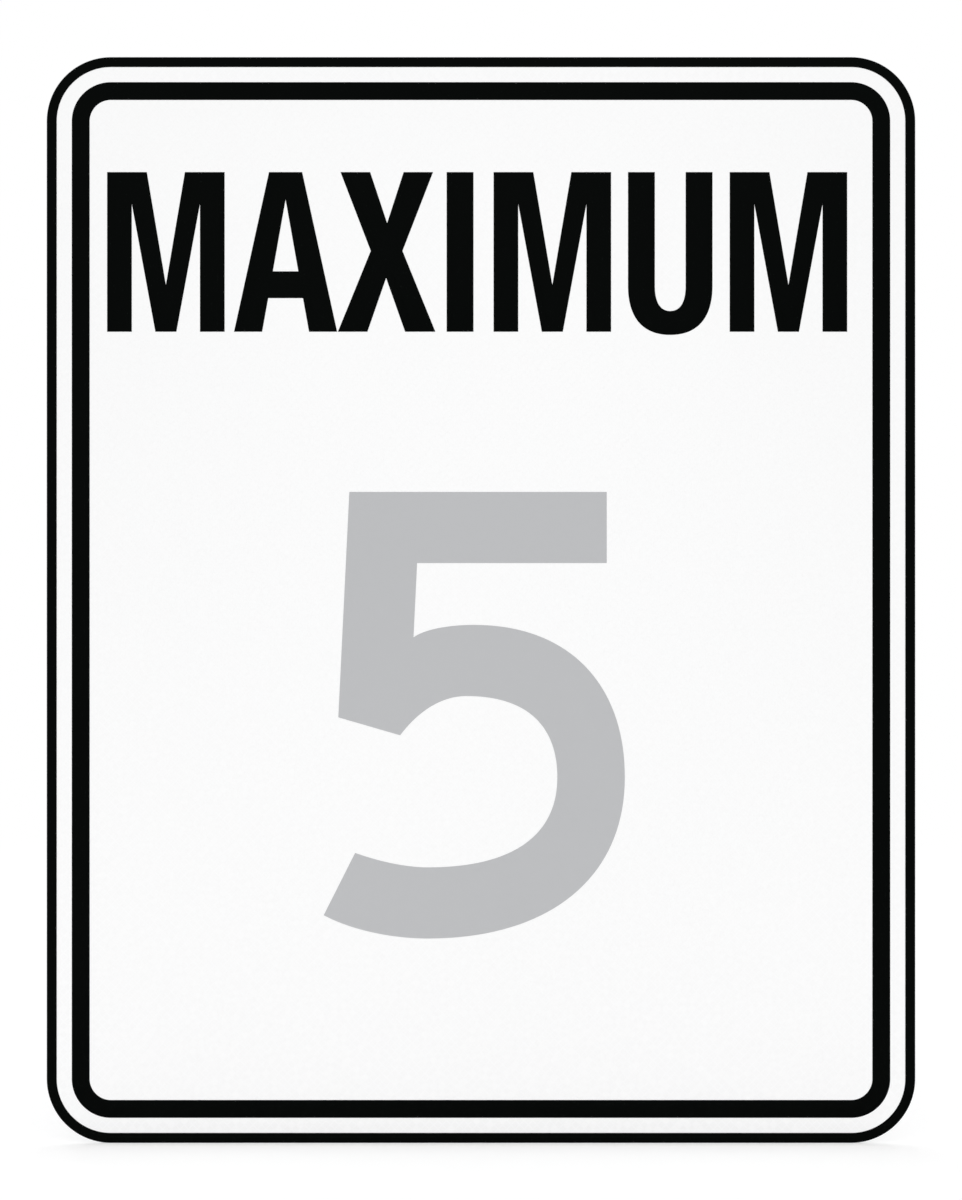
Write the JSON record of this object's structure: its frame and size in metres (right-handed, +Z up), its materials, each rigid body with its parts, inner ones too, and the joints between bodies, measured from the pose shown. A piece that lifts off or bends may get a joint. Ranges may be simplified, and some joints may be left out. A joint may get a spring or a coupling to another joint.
{
  "type": "speed limit sign",
  "caption": "Flat upright road sign panel with rounded corners: aluminium blank, white reflective sheeting, black edge line and border films, and a large grey digit cut from film.",
  "frame": {"origin": "centre of the panel's back face, which lies against what carries the sign", "axes": "+X to the reader's right, +Z up along the panel's height, +Y out of the back face, so the front looks along -Y"},
  "size_m": [0.6, 0.0025, 0.75],
  "materials": {
    "aluminium": "mill finish",
    "white_sheeting": "smooth, retroreflective",
    "black_film": "satin",
    "grey_film": "satin"
  },
  "bodies": {
    "root": {"aluminium_blank": "aluminium", "reflective_sheeting": "white_sheeting", "edge_line_film": "black_film", "border_film": "black_film", "digit_film": "grey_film"}
  },
  "joints": []
}
